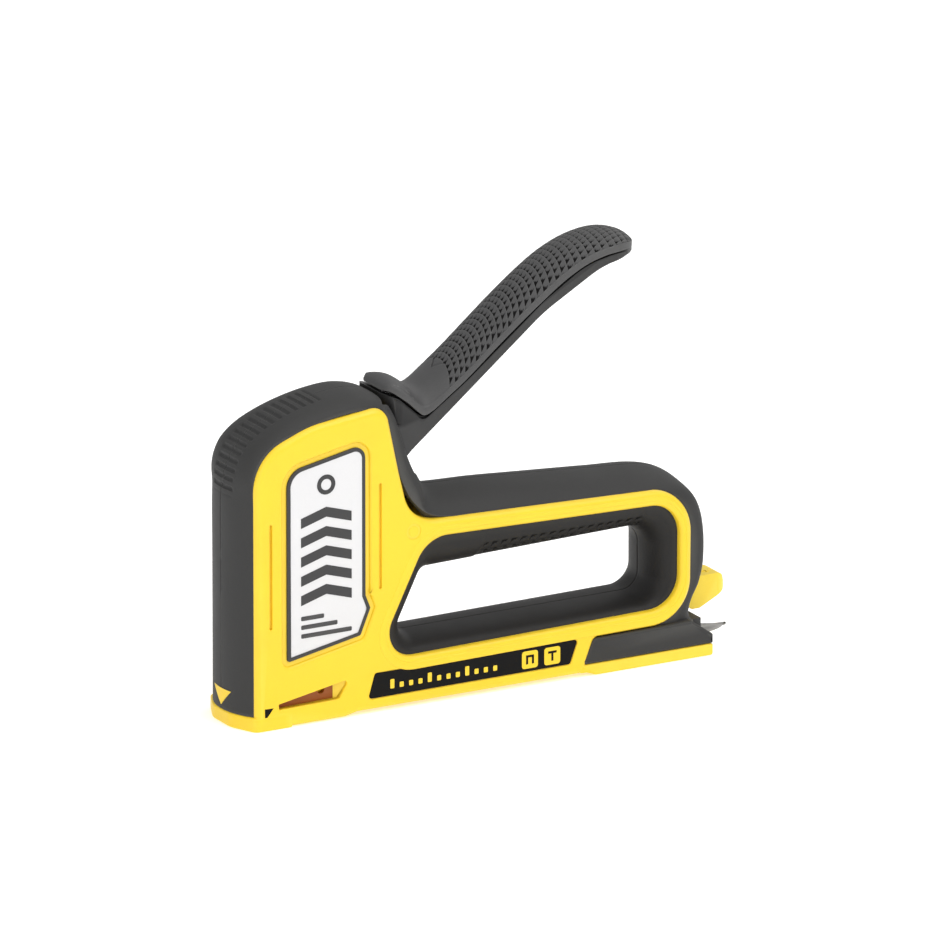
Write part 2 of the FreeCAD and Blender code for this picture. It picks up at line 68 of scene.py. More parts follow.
def mesh_object(name, points, faces, tints=None):
    """New object from drawing points and faces, welded, with outward normals.  tints gives each
    face's finish: 0 for the piece's own, 1 for the painted shade in a pit."""
    mesh = bpy.data.meshes.new(name)
    mesh.from_pydata(place(points), [], faces)
    if tints:
        mesh.polygons.foreach_set("material_index", tints)
    item = bpy.data.objects.new(name, mesh)
    bpy.context.scene.collection.objects.link(item)
    clean(item)
    return item


def clean(item, gap=1e-7):
    """Weld doubles and turn all normals outward."""
    work = bmesh.new()
    work.from_mesh(item.data)
    bmesh.ops.remove_doubles(work, verts=work.verts, dist=gap)
    bmesh.ops.dissolve_degenerate(work, edges=work.edges, dist=gap)
    bmesh.ops.recalc_face_normals(work, faces=work.faces)
    work.to_mesh(item.data)
    work.free()


def smooth(item, angle=32):
    """Smooth shading with edges sharper than the angle kept, flat faces weighted to stay flat."""
    for face in item.data.polygons:
        face.use_smooth = True
    item.data.set_sharp_from_angle(angle=math.radians(angle))
    weighted = item.modifiers.new("weighted", "WEIGHTED_NORMAL")
    weighted.keep_sharp = True
    return item


def soften(item, width, angle=38, segments=3):
    """Round the sharp edges of a piece."""
    bevel = item.modifiers.new("soften", "BEVEL")
    bevel.width = width * MM
    bevel.segments = segments
    bevel.limit_method = "ANGLE"
    bevel.angle_limit = math.radians(angle)
    return item


def apply_all(item):
    """Replace an object's mesh by its evaluated mesh and drop its modifiers."""
    bpy.context.view_layer.update()
    depsgraph = bpy.context.evaluated_depsgraph_get()
    mesh = bpy.data.meshes.new_from_object(item.evaluated_get(depsgraph))
    item.modifiers.clear()
    item.data = mesh


def carve(item, *cutters, operation="DIFFERENCE"):
    """Exact boolean of the item with each cutter; the cutters are removed."""
    for cutter in cutters:
        step = item.modifiers.new("carve", "BOOLEAN")
        step.operation = operation
        step.solver = "EXACT"
        step.object = cutter
    apply_all(item)
    for cutter in cutters:
        bpy.data.objects.remove(cutter)
    clean(item)
    return item


def join(name, *items):
    """Join objects into one with this name."""
    work = bmesh.new()
    for item in items:
        work.from_mesh(item.data)
    mesh = bpy.data.meshes.new(name)
    work.to_mesh(mesh)
    work.free()
    for item in items:
        bpy.data.objects.remove(item)
    joined = bpy.data.objects.new(name, mesh)
    bpy.context.scene.collection.objects.link(joined)
    return joined


def mirrored(name, item):
    """Copy of an object on the other side of the mid-plane."""
    mesh = item.data.copy()
    for vertex in mesh.vertices:
        vertex.co.y = -vertex.co.y
    mesh.flip_normals()
    copy = bpy.data.objects.new(name, mesh)
    bpy.context.scene.collection.objects.link(copy)
    return copy


# ---------------------------------------------------------------- outlines
def rounded(corners, per_arc=10):
    """Points of a closed outline given as (u, v, radius) corners."""
    points = []
    count = len(corners)
    for i, (u, v, radius) in enumerate(corners):
        here = np.array([u, v], float)
        into = here - np.array(corners[i - 1][:2], float)
        out = np.array(corners[(i + 1) % count][:2], float) - here
        into /= np.linalg.norm(into)
        out /= np.linalg.norm(out)
        turn = math.acos(max(-1, min(1, float(into @ out))))
        if radius <= 0 or turn < 0.01:
            points.append(tuple(here))
            continue
        bend = math.copysign(1, into[0] * out[1] - into[1] * out[0])
        start = -bend * np.array([-into[1], into[0]])
        centre = here - into * radius * math.tan(turn / 2) - radius * start
        for k in range(per_arc + 1):
            a = bend * turn * k / per_arc
            spoke = np.array([start[0] * math.cos(a) - start[1] * math.sin(a),
                              start[0] * math.sin(a) + start[1] * math.cos(a)])
            points.append(tuple(centre + radius * spoke))
    return points


def circle(centre, radius, sides):
    """Closed outline of a circle."""
    return [(centre[0] + radius * math.cos(a), centre[1] + radius * math.sin(a))
            for a in np.linspace(0, 2 * math.pi, sides, endpoint=False)]


def oblong(left, low, wide, tall, radius, per_arc=10):
    """Closed outline of a rectangle with rounded corners."""
    right, high = left + wide, low + tall
    return rounded([(left, low, radius), (right, low, radius), (right, high, radius),
                    (left, high, radius)], per_arc)


def spaced(points, step):
    """Closed outline with extra points so that no side is longer than the step."""
    result = []
    for a, b in zip(points, points[1:] + points[:1]):
        count = max(1, math.ceil(math.dist(a, b) / step))
        result += [tuple(np.array(a) + (np.array(b) - np.array(a)) * k / count) for k in range(count)]
    return result


def single(points, gap=0.01):
    """Closed outline without points that repeat their neighbour."""
    result = []
    for point in points:
        if not result or math.dist(point, result[-1]) > gap:
            result.append(point)
    while len(result) > 1 and math.dist(result[0], result[-1]) <= gap:
        result.pop()
    return result


def grown(points, amount):
    """Closed outline moved outwards by an amount (inwards if negative)."""
    p = np.array(single(points), float)
    area = 0.5 * float(np.sum(p[:, 0] * np.roll(p[:, 1], -1) - np.roll(p[:, 0], -1) * p[:, 1]))
    sign = 1 if area > 0 else -1
    result = []
    for i in range(len(p)):
        into = p[i] - p[i - 1]
        out = p[(i + 1) % len(p)] - p[i]
        into /= np.linalg.norm(into)
        out /= np.linalg.norm(out)
        first = np.array([into[1], -into[0]]) * sign
        second = np.array([out[1], -out[0]]) * sign
        share = max(0.35, 1 + float(first @ second))
        result.append(tuple(p[i] + amount * (first + second) / share))
    return result


def bar(name, x, y, z):
    """Plain cutter box between pairs of limits."""
    corners = [(x[i], y[j], z[k]) for i in (0, 1) for j in (0, 1) for k in (0, 1)]
    faces = [(0, 1, 3, 2), (4, 6, 7, 5), (0, 4, 5, 1), (2, 3, 7, 6), (0, 2, 6, 4), (1, 5, 7, 3)]
    return mesh_object(name, corners, faces)


def drum(name, centre, radius, low, high, sides=40):
    """Plain cutter cylinder across the tool."""
    return prism(name, circle(centre, radius, sides), low, high)


def prism(name, ring, low, high, plane="XZ"):
    """Sharp-edged prism on an outline."""
    count = len(ring)
    if plane == "XZ":
        points = [(u, low, v) for u, v in ring] + [(u, high, v) for u, v in ring]
    else:
        points = [(u, v, low) for u, v in ring] + [(u, v, high) for u, v in ring]
    faces = [tuple(range(count)), tuple(range(2 * count - 1, count - 1, -1))]
    faces += [(i, (i + 1) % count, count + (i + 1) % count, count + i) for i in range(count)]
    return mesh_object(name, points, faces)


def through(rows, step, fine=None):
    """Smooth curve through rows of numbers: samples about one step apart along the last two columns.
    fine is (first length, last length, smaller step) for a stretch that needs more samples."""
    p = np.array(rows, float)
    t = np.concatenate([[0], np.cumsum(np.linalg.norm(np.diff(p[:, -2:], axis=0), axis=1))])
    slope = np.empty_like(p)
    slope[1:-1] = (p[2:] - p[:-2]) / (t[2:] - t[:-2])[:, None]
    slope[0] = (p[1] - p[0]) / (t[1] - t[0])
    slope[-1] = (p[-1] - p[-2]) / (t[-1] - t[-2])
    at = list(np.linspace(0, t[-1], max(2, int(t[-1] / step))))
    if fine:
        at = [v for v in at if not fine[0] < v < fine[1]]
        at = sorted(at + list(np.arange(fine[0], fine[1], fine[2])))
    at = np.array(at)
    i = np.clip(np.searchsorted(t, at, side="right") - 1, 0, len(t) - 2)
    span = (t[i + 1] - t[i])[:, None]
    f = ((at - t[i])[:, None]) / span
    value = ((2 * f**3 - 3 * f**2 + 1) * p[i] + (f**3 - 2 * f**2 + f) * span * slope[i]
             + (3 * f**2 - 2 * f**3) * p[i + 1] + (f**3 - f**2) * span * slope[i + 1])
    return at, value


# ---------------------------------------------------------------- materials
def shader(name):
    """New node material; returns it, its Principled shader and a helper that adds nodes."""
    material = bpy.data.materials.new(name)
    material.use_nodes = True
    tree = material.node_tree
    surface = tree.nodes["Principled BSDF"]

    def node(kind, inputs=(), **settings):
        item = tree.nodes.new(kind)
        for key, value in settings.items():
            setattr(item, key, value)
        for socket, value in dict(inputs).items():
            if isinstance(value, bpy.types.NodeSocket):
                tree.links.new(value, item.inputs[socket])
            else:
                item.inputs[socket].default_value = value
        return item
    return material, tree, surface, node


def linear(red, green, blue):
    """Display colour, 0 to 255, as linear light."""
    def channel(value):
        value /= 255
        return value / 12.92 if value <= 0.04045 else ((value + 0.055) / 1.055) ** 2.4
    return (channel(red), channel(green), channel(blue), 1)


ROUGH_SPREAD = 0.06                            # how far the roughness wanders either way


def finish_material(name, colour, rough, grain, bump, mottle, metallic=0.0, wear=None, brushed=None,
                    specular=0.5, cavity=0.0):
    """Plastic, rubber or metal with a fine grain, mottled colour, uneven gloss, edges rubbed towards
    the wear colour and painted shade that darkens the hollows by the given share.  grain is the size
    of one grain and bump its depth, in millimetres; brushed stretches the grain along an axis."""
    material, tree, surface, node = shader(name)
    where = node("ShaderNodeTexCoord").outputs["Object"]
    if brushed:
        where = node("ShaderNodeMapping", {"Vector": where, "Scale": brushed}).outputs["Vector"]
    broad = node("ShaderNodeTexNoise", {"Vector": where, "Scale": 45, "Detail": 5, "Roughness": 0.6})
    fine = node("ShaderNodeTexNoise", {"Vector": where, "Scale": 0.55 / (grain * MM), "Detail": 3,
                                       "Roughness": 0.55})
    cells = node("ShaderNodeTexVoronoi", {"Vector": where, "Scale": 0.8 / (grain * MM)},
                 feature="SMOOTH_F1")
    shade = node("ShaderNodeMapRange", {"Value": broad.outputs["Fac"], "From Min": 0.3, "From Max": 0.7,
                                        "To Min": 1 - mottle, "To Max": 1 + mottle})
    dust = node("ShaderNodeMapRange", {"Value": fine.outputs["Fac"], "From Min": 0.35, "From Max": 0.75,
                                       "To Min": 1 - mottle / 2, "To Max": 1 + mottle / 2})
    tone = node("ShaderNodeMath", {0: shade.outputs[0], 1: dust.outputs[0]}, operation="MULTIPLY")
    base = node("ShaderNodeVectorMath", {0: linear(*colour)[:3], "Scale": tone.outputs[0]},
                operation="SCALE").outputs["Vector"]
    if wear:
        pointed = node("ShaderNodeNewGeometry").outputs["Pointiness"]
        rubbed = node("ShaderNodeMapRange", {"Value": pointed, "From Min": 0.515, "From Max": 0.57,
                                             "To Min": 0.0, "To Max": 0.55})
        patchy = node("ShaderNodeMath", {0: rubbed.outputs[0], 1: broad.outputs["Fac"]},
                      operation="MULTIPLY")
        base = node("ShaderNodeMix", {"Factor": patchy.outputs[0], 6: base, 7: linear(*wear)},
                    data_type="RGBA").outputs[2]
    # Painted shade: hollows (low pointiness) are darkened in the base colour itself.
    if cavity:
        pointed = node("ShaderNodeNewGeometry").outputs["Pointiness"]
        hollow = node("ShaderNodeMapRange", {"Value": pointed, "From Min": 0.40, "From Max": 0.492,
                                             "To Min": 1 - cavity, "To Max": 1.0})
        base = node("ShaderNodeVectorMath", {0: base, "Scale": hollow.outputs[0]},
                    operation="SCALE").outputs["Vector"]
    tree.links.new(base, surface.inputs["Base Color"])
    gloss = node("ShaderNodeMapRange", {"Value": broad.outputs["Fac"], "From Min": 0.25,
                                        "From Max": 0.75, "To Min": rough - ROUGH_SPREAD,
                                        "To Max": rough + ROUGH_SPREAD})
    tree.links.new(gloss.outputs[0], surface.inputs["Roughness"])
    height = node("ShaderNodeMath", {0: fine.outputs["Fac"], 1: cells.outputs["Distance"]},
                  operation="ADD")
    relief = node("ShaderNodeBump", {"Height": height.outputs[0], "Strength": 0.6,
                                     "Distance": bump * MM})
    tree.links.new(relief.outputs["Normal"], surface.inputs["Normal"])
    surface.inputs["Metallic"].default_value = metallic
    surface.inputs["Specular IOR Level"].default_value = specular
    return material


# Colour (0 to 255), roughness, grain, bump and mottle of each finish, and what else it has.
METAL = {"metallic": 1.0}
FINISHES = {
    "yellow_shell": ((240, 203, 34), 0.43, 0.35, 0.035, 0.03, {"wear": (250, 222, 90)}),
    "yellow_latch": ((240, 208, 48), 0.40, 0.35, 0.03, 0.03, {"wear": (250, 226, 100)}),
    # Painted shade: the rubbers below have their hollows darkened in colour by the given share.
    "black_rubber": ((47, 47, 47), 0.62, 0.22, 0.05, 0.08,
                     {"wear": (96, 96, 94), "specular": 0.36, "cavity": 0.75}),
    "black_liner": ((27, 26, 26), 0.56, 0.25, 0.05, 0.08,
                    {"wear": (66, 66, 64), "specular": 0.30, "cavity": 0.7}),
    "lever_plastic": ((24, 24, 25), 0.46, 0.20, 0.03, 0.06, {"wear": (78, 78, 78), "specular": 0.36}),
    "lever_rubber": ((68, 68, 69), 0.56, 0.22, 0.05, 0.07,
                     {"wear": (120, 120, 118), "specular": 0.42, "cavity": 0.6}),
    # Painted shade: the near-black finish given to the faces in pits.
    "pit_painted_shade": ((13, 13, 13), 0.75, 0.3, 0.03, 0.1, {"specular": 0.12}),
    # Painted shade: the yellow plastic of the window's back, darkened to dark amber.
    "window_painted_shade": ((150, 78, 12), 0.5, 0.35, 0.03, 0.06, {}),
    "label_white": ((216, 216, 218), 0.42, 0.30, 0.012, 0.018, {}),
    "label_edge": ((44, 44, 46), 0.45, 0.22, 0.02, 0.06, {"wear": (90, 90, 90)}),
    "decal_black": ((9, 9, 10), 0.5, 0.3, 0.012, 0.1, {"specular": 0.14}),
    "black_plastic": ((34, 34, 35), 0.45, 0.25, 0.03, 0.07, {"wear": (66, 66, 66)}),
    "bumper_rubber": ((30, 30, 30), 0.75, 0.3, 0.05, 0.1, {}),
    "screw_steel": ((96, 97, 100), 0.34, 0.3, 0.02, 0.08, {**METAL, "wear": (170, 172, 176)}),
    "plated_steel": ((168, 168, 164), 0.30, 0.3, 0.015, 0.05,
                     {**METAL, "brushed": (0.25, 3, 3), "wear": (215, 215, 210)}),
    "spring_steel": ((120, 120, 124), 0.28, 0.2, 0.015, 0.07, {**METAL, "wear": (190, 190, 192)}),
    "tool_steel": ((136, 135, 133), 0.34, 0.25, 0.02, 0.08,
                   {**METAL, "brushed": (3, 3, 0.25), "wear": (176, 176, 174)}),
}
for key, (*values, extra) in FINISHES.items():
    FINISHES[key] = finish_material(key, *values, **extra)


def dress(item, slot, body, *nodes):
    """Give a piece its finish, let it ride on a body, and let it stand for CAD nodes."""
    tints = [face.material_index for face in item.data.polygons]
    item.data.materials.clear()
    item.data.materials.append(FINISHES[slot])
    # Faces in pits get the painted shade finish.
    if any(tints):
        item.data.materials.append(FINISHES["pit_painted_shade"])
        item.data.polygons.foreach_set("material_index", tints)
    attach(item, body)
    if nodes:
        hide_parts(*nodes)
    return item


# ---------------------------------------------------------------- solids with rounded edges
def turned(points, positive=True):
    """Closed outline in counter-clockwise order (clockwise if not positive)."""
    p = np.array(points, float)
    area = float(np.sum(p[:, 0] * np.roll(p[:, 1], -1) - np.roll(p[:, 0], -1) * p[:, 1]))
    return list(points) if (area > 0) == positive else list(points)[::-1]


def relief(name, edges, face, back, plane="XZ", rounds=4, both=False):
    """Solid between two parallel planes.  edges lists (outline, bevel) with the outer edge first and
    holes after it; each edge is rounded by its bevel where it meets the face, and also where it
    meets the back if both is set."""
    toward = 1 if back > face else -1
    work = bmesh.new()
    loops_face, loops_back = [], []
    for index, (outline, bevel) in enumerate(edges):
        outline = turned(single(outline))
        away = 1 if index else -1
        levels = []
        if both and bevel > 0:
            for k in range(rounds, 0, -1):
                a = math.pi / 2 * k / rounds
                levels.append((bevel * (1 - math.cos(a)), back - toward * bevel * (1 - math.sin(a))))
            levels.append((0, back - toward * bevel))
        else:
            levels.append((0, back))
        if bevel > 0:
            for k in range(rounds + 1):
                a = math.pi / 2 * k / rounds
                levels.append((bevel * (1 - math.cos(a)), face + toward * bevel * (1 - math.sin(a))))
        else:
            levels.append((0, face))
        rings = []
        for inset, level in levels:
            ring = grown(outline, away * inset) if inset else outline
            points = [(u, level, v) if plane == "XZ" else (u, v, level) for u, v in ring]
            rings.append([work.verts.new(p) for p in place(points)])
        for low, high in zip(rings, rings[1:]):
            for i in range(len(low)):
                j = (i + 1) % len(low)
                work.faces.new((low[i], low[j], high[j], high[i]))
        loops_back.append(rings[0])
        loops_face.append(rings[-1])
    for loops in (loops_back, loops_face):
        sides = []
        for ring in loops:
            for i in range(len(ring)):
                pair = (ring[i], ring[(i + 1) % len(ring)])
                sides.append(work.edges.get(pair) or work.edges.new(pair))
        bmesh.ops.triangle_fill(work, use_beauty=True, use_dissolve=False, edges=sides)
    bmesh.ops.recalc_face_normals(work, faces=work.faces)
    mesh = bpy.data.meshes.new(name)
    work.to_mesh(mesh)
    work.free()
    item = bpy.data.objects.new(name, mesh)
    bpy.context.scene.collection.objects.link(item)
    return item


def lathe(name, centre, profile, sides=40):
    """Solid of revolution about a line across the tool; profile is (radius, y) from end to end."""
    points, faces = [], []
    for radius, along in profile:
        points += [(x, along, z) for x, z in circle(centre, radius, sides)]
    for r in range(len(profile) - 1):
        for k in range(sides):
            n = (k + 1) % sides
            faces.append((r * sides + k, r * sides + n, (r + 1) * sides + n, (r + 1) * sides + k))
    last = (len(profile) - 1) * sides
    faces.append(tuple(range(sides)))
    faces.append(tuple(range(last + sides - 1, last - 1, -1)))
    return mesh_object(name, points, faces)


def skin(name, rows, depth, kept=None, looped=False, pits=None):
    """Closed solid from a grid of surface points: the grid, the same grid moved in by depth along
    its normals, and a rim between them.  rows is (stations, across, 3); kept marks the cells that
    exist; looped joins the last station to the first; pits marks the points that lie in pits,
    whose faces get a painted shade finish."""
    n, m = rows.shape[:2]
    du = np.gradient(rows, axis=0)
    if looped:
        du = (np.roll(rows, -1, axis=0) - np.roll(rows, 1, axis=0)) / 2
    dv = np.gradient(rows, axis=1)
    normal = np.cross(du, dv)
    normal /= np.maximum(np.linalg.norm(normal, axis=2, keepdims=True), 1e-9)
    inner = rows + normal * depth
    points = [tuple(p) for p in rows.reshape(-1, 3)] + [tuple(p) for p in inner.reshape(-1, 3)]
    size = n * m
    faces, tints = [], []
    rim = {}
    for i in range(n if looped else n - 1):
        k = (i + 1) % n
        for j in range(m - 1):
            if kept is not None and not kept[i, j]:
                continue
            a, b, c, d = i * m + j, i * m + j + 1, k * m + j + 1, k * m + j
            faces.append((a, b, c, d))
            faces.append((size + d, size + c, size + b, size + a))
            tints += [int(pits is not None and pits[i, j] and pits[k, j + 1]), 0]
            for edge in ((a, b), (b, c), (c, d), (d, a)):
                if edge[::-1] in rim:
                    del rim[edge[::-1]]
                else:
                    rim[edge] = True
    faces += [(b, a, size + a, size + b) for a, b in rim]
    item = mesh_object(name, points, faces, tints + [0] * len(rim))
    work = bmesh.new()
    work.from_mesh(item.data)
    bmesh.ops.delete(work, geom=[v for v in work.verts if not v.link_faces], context="VERTS")
    work.to_mesh(item.data)
    work.free()
    return item


def bands(value, pitch, width):
    """Groove profile repeated along a value: 1 in the middle of each groove, 0 between grooves."""
    off = np.abs((value / pitch + 0.5) % 1 - 0.5) * pitch
    return np.clip(1 - (off / (width / 2)) ** 2, 0, 1) ** 0.7


def ease(value, low, high):
    """Smooth step from 0 at low to 1 at high."""
    t = np.clip((value - low) / (high - low), 0, 1)
    return t * t * (3 - 2 * t)


# ---------------------------------------------------------------- outlines of the object
SIDE_FACE = [
    (0.8, 0.2, 2.2), (0.8, 93.5, 17), (22, 101.5, 40), (49.5, 104.6, 6), (54.5, 81, 20),
    (59, 63.1, 12), (164.4, 59.6, 16), (164, 13.3, 15), (127.5, 12.9, 2.2), (123.6, 1.2, 2.2),
    (39, 1.2, 2.2), (34.5, 0.2, 2.2),
]
FOOT_STRIP = [(121.5, 1.4, 0.8), (124.5, 1.3, 1), (128, 0.1, 1), (172.2, 0.1, 0.8),
              (172.2, 4.15, 0.8), (122.5, 4.15, 0.8)]
HOLE_EDGE = [(45.3, 17.1, 9), (65, 57, 12), (159.8, 54.6, 11), (159.6, 18.9, 11)]
HOLE_CREST = [(55.6, 22, 5), (66, 43.2, 5), (152.2, 45.3, 7), (152.2, 22.4, 6)]
REAR_BLOCK = [
    (164, 13.1, 1), (127, 12.8, 1.5), (122.6, 4.2, 1), (172.2, 4.2, 0.5), (172.2, 7.4, 1),
    (168.2, 10.2, 1),
]
LABEL = [(12.4, 22.2, 1), (12.4, 87.3, 7), (41.7, 93, 4), (41.7, 41.1, 0.5), (43.5, 36.5, 0.5),
         (39.8, 27.5, 1)]
DECAL = [(42.5, 5.2, 1), (45, 13.7, 1), (121, 13.5, 1), (118, 5.4, 1)]
WINDOW = [(9.3, 6.7, 0.4), (9.1, 8.6, 0.4), (35.4, 13.3, 1), (31.5, 7, 1)]
NOSE_PLAN = [(-3.9, -6, 9), (0.6, -15.9, 3), (14, -15.9, 0), (14, 15.9, 0), (0.6, 15.9, 3),
             (-3.9, 6, 9)]
LEVER_SPLIT = [
    (51.4, 106.6, 0), (56.6, 104.6, 8), (65.2, 96.9, 2.5), (81.6, 108.3, 30), (110.5, 131.2, 40),
    (126, 141, 30), (138, 143.6, 20), (148.2, 142.4, 0),
]
LEVER_UNDER = [
    (147.6, 141.5, 0.5), (142, 141.1, 8), (132, 139.0, 30), (110.2, 126.6, 60), (60.7, 86.7, 6),
    (54, 80, 3), (46, 78, 6),
    (46, 94.4, 0), (50.6, 97.5, 0.5),
]
LEVER_PLAN = [(37, -12, 3), (148.0, -12, 11.9), (148.0, 12, 11.9), (37, 12, 3)]
LATCH_TAB = [
    (163.4, 12.4, 0.5), (165, 12.4, 0.5), (167.4, 15.2, 1), (170, 13.2, 1), (173, 13.2, 1.2),
    (183.8, 18.6, 2.2), (181.6, 24.4, 3), (172.6, 24.3, 2), (168.6, 22.2, 2), (158.4, 21.7, 0),
    (158.4, 17.1, 0), (162, 16.9, 0.5),
]
LOOP_STRIP = [(38.0, 12.6, 13), (62.4, 60.6, 14), (162.6, 58.2, 14), (162.6, 14.1, 14)]
SCREWS = [(9, 27), (36, 97.5), (46.2, 22), (57.6, 60.5), (112, 58.5), (161.4, 40)]
PIVOT = (46, 86)
RING_CENTRE = (59.5, 60.1)
FOOT_TRIANGLE = [(3.9, 7.8), (7.2, 7.7), (4.0, 3.7)]
LATCH_HALF = 5.4                               # half width of the opening for the latch
TUNNEL_HALF, TUNNEL_TOP = 8.3, 11.4            # opening for the magazine
BAR_HALF, CORE_HALF = 11.9, 10.7               # half widths of the lever's bar and of its top step
FACE = -15.8                                   # left side face; only the loop strip is prouder

# Edge of the side face and crown of the overmould, matched station by station:
# (x, z) at the side, (x, z) at the mid-plane, from the foot of the nose round to the rear block.
OVERMOULD_PATH = [
    (0.8, 5, -3.8, 5), (0.8, 22, -3.8, 22), (0.8, 40, -3.8, 40), (0.8, 58, -3.8, 58),
    (0.8, 75, -3.8, 76),
    (1.1, 83.5, -3.2, 83.5), (2.2, 88.3, -1.3, 89.5), (4.7, 92.6, 1.8, 95), (9.2, 96.4, 8, 99.7),
    (16.8, 99.3, 16, 103.6), (26.5, 101.9, 25.5, 106.4), (35, 103.3, 35, 108),
    (42, 103.5, 43, 108.2), (47.5, 101.9, 50.5, 106), (50.6, 97.5, 54.3, 101),
    (52, 91.7, 57.2, 93.5), (54, 83.5, 60, 85.5), (56, 77.5, 62.5, 80), (59.5, 70.8, 65.5, 74.8),
    (64.5, 65.6, 68.5, 71.6), (71, 63.1, 73, 70.6), (91, 61.8, 91, 69.8), (110, 61.2, 110, 68.4),
    (135, 60.5, 136, 66.4), (149, 60, 153.5, 64.8), (156, 56.6, 162, 61.5), (161, 50, 168, 55),
    (163.3, 42, 171, 46), (163.9, 32, 171.4, 33), (162.8, 25, 169.6, 25), (160, 20, 167, 19.8),
    (156.5, 16.2, 166.0, 15.4), (154.0, 14.2, 166.6, 12.9), (151.5, 12.4, 168.2, 11.2),
]


# ---------------------------------------------------------------- yellow housing sides
def housing_side(screwed):
    """Left outer wall with its pockets, grooves, loop strip and window, and its pocket floor.  The
    screwed side has wells for the screw heads instead of the round mark."""
    label_rim = spaced(grown(rounded(LABEL), 1.5), 2)
    window = rounded(WINDOW)
    groove_front = oblong(5.8, 34.5, 1.0, 35.9, 0.5, 4)
    groove_rear = oblong(46.5, 42.4, 1.0, 36.2, 0.5, 4)
    ring, mark = circle(RING_CENTRE, 2.6, 32), circle(RING_CENTRE, 1.9, 32)
    decal_bed = grown(rounded(DECAL), 0.25)
    edges = [(rounded(SIDE_FACE, 16), 2.0), (rounded(HOLE_EDGE, 16), 1.5), (label_rim, 1.1),
             (window, 0.3), (groove_front, 0.22), (groove_rear, 0.22), (decal_bed, 0.2),
             (FOOT_TRIANGLE, 0.12)] + ([] if screwed else [(ring, 0.2)])
    outer = relief("left_side_wall", edges, FACE, -12.8)
    floor = relief(
        "left_side_floor",
        [(grown(rounded(SIDE_FACE), -1.2), 0), (grown(rounded(HOLE_EDGE), 0.8), 0),
         (window, 0)], FACE + 1.0, -12.9)
    groove_floor = relief("left_groove_floor", [(grown(rounded(DECAL), 1), 0)], FACE + 0.35, -14)
    ring_floor = relief("left_ring_floor", [(grown(ring, 0.4), 0)], FACE + 0.3, -14)
    ring_core = relief("left_ring_core", [(mark, 0.2)], FACE + 0.05, -14)
    mark_floor = relief("left_mark_floor", [(grown(FOOT_TRIANGLE, 0.4), 0)], FACE + 0.35, -14)
    foot = relief("left_foot_strip", [(rounded(FOOT_STRIP), 0.6)], FACE, -8.4)
    strip = relief(
        "left_loop_strip",
        [(rounded(LOOP_STRIP, 16), 0.4), (grown(rounded(HOLE_EDGE, 16), 1.9), 0.4)], -HALF, -14)
    if screwed:
        for part in (outer, floor, strip):
            carve(part, *[drum("well", centre, 2.6, -18, -13.7) for centre in SCREWS])
    return join("left_housing_side", outer, floor, groove_floor, ring_floor, ring_core, mark_floor,
                foot, strip)


left_side, screw_side = housing_side(False), housing_side(True)


# ---------------------------------------------------------------- overmould
MOULD_EDGE = 13.9                              # half width of the swept band


def overmould_half():
    """Left half of the soft band: swept crown with ribs and a seam, opened for lever and latch."""
    path = [(edge_x, edge_z, crown_x, crown_z)
            for edge_x, edge_z, crown_x, crown_z in OVERMOULD_PATH]
    travel, value = through(path, 0.9, fine=(70, 178, 0.3))
    edge, crown = value[:, :2], value[:, 2:]
    y = np.concatenate([np.linspace(-MOULD_EDGE, -12.5, 8, endpoint=False),
                        np.linspace(-12.5, -8.3, 8, endpoint=False),
                        np.linspace(-8.3, -5.4, 9, endpoint=False),
                        np.linspace(-5.4, -1.2, 14, endpoint=False),
                        [-1.2, -0.9, -0.6, -0.4, -0.28, -0.16, -0.08, 0]])
    height = np.linalg.norm(crown - edge, axis=1)
    share = y / MOULD_EDGE
    radius = (MOULD_EDGE ** 2 + height ** 2) / (2 * height)
    arc = (np.sqrt(radius[:, None] ** 2 - y ** 2) - (radius - height)[:, None]) / height[:, None]
    square = (1 - np.abs(share) ** 7) ** (1 / 3)
    # Beside the lever the band is square-shouldered; elsewhere it is a plain crown.
    shoulder = ease(edge[:, 0], 46, 49) * (1 - ease(edge[:, 0], 58, 66)) * (edge[:, 1] > 60)
    profile = arc * (1 - shoulder[:, None]) + square[None, :] * shoulder[:, None]
    full = (0.75 * ease(edge[:, 1], 78, 90) * (edge[:, 0] < 48.0))[:, None]
    rear = np.maximum(ease(edge[:, 0], 150, 163), (edge[:, 0] > 140) * ease(-edge[:, 1], -52, -40))
    broad = (1 - np.abs(share) ** 4.5) ** (1 / 2.2)
    profile = profile * (1 - full) + broad[None, :] * full
    profile = profile * (1 - rear[:, None]) + square[None, :] * rear[:, None]
    spread = (crown - edge)
    grid = np.empty((len(travel), len(y), 3))
    grid[:, :, 0] = edge[:, None, 0] + spread[:, None, 0] * profile
    grid[:, :, 1] = y[None, :]
    grid[:, :, 2] = edge[:, None, 1] + spread[:, None, 1] * profile
    sink = -spread / height[:, None]
    along = travel[:, None]
    ribbed = ease(along, RIBS[0], RIBS[0] + 1.5) * (1 - ease(along, RIBS[1] - 1.5, RIBS[1]))
    fade = 1 - ease(np.abs(y)[None, :], 5.2, 7.0)
    ribs = 0.55 * bands(along - RIBS[0], 3.05, 1.7) * ribbed * fade
    seam = 0.28 * np.exp(-(y / 0.22) ** 2)[None, :] * np.ones_like(along)
    drop = ribs + seam
    grid[:, :, 0] += sink[:, None, 0] * drop
    grid[:, :, 2] += sink[:, None, 1] * drop
    middle = (np.abs(y[1:]) + np.abs(y[:-1])) / 2
    top_x, top_z = crown[:-1, 0], crown[:-1, 1]
    slot = (top_x > 50.5) & (top_x < 63.5) & (top_z > 76) & (top_z < 106.2)
    kept = ~(slot[:, None] & (middle < 12.5)[None, :])
    kept &= ~(((top_x > 150) & (top_z < 25.8))[:, None] & (middle < LATCH_HALF)[None, :])
    kept &= ~(((top_x > 150) & (top_z < 14.6))[:, None] & (middle < TUNNEL_HALF)[None, :])
    return skin("left_band", grid, -3.0, kept)


RIBS = (73.5, 123.0)                           # where the ribs start and end along the band's path


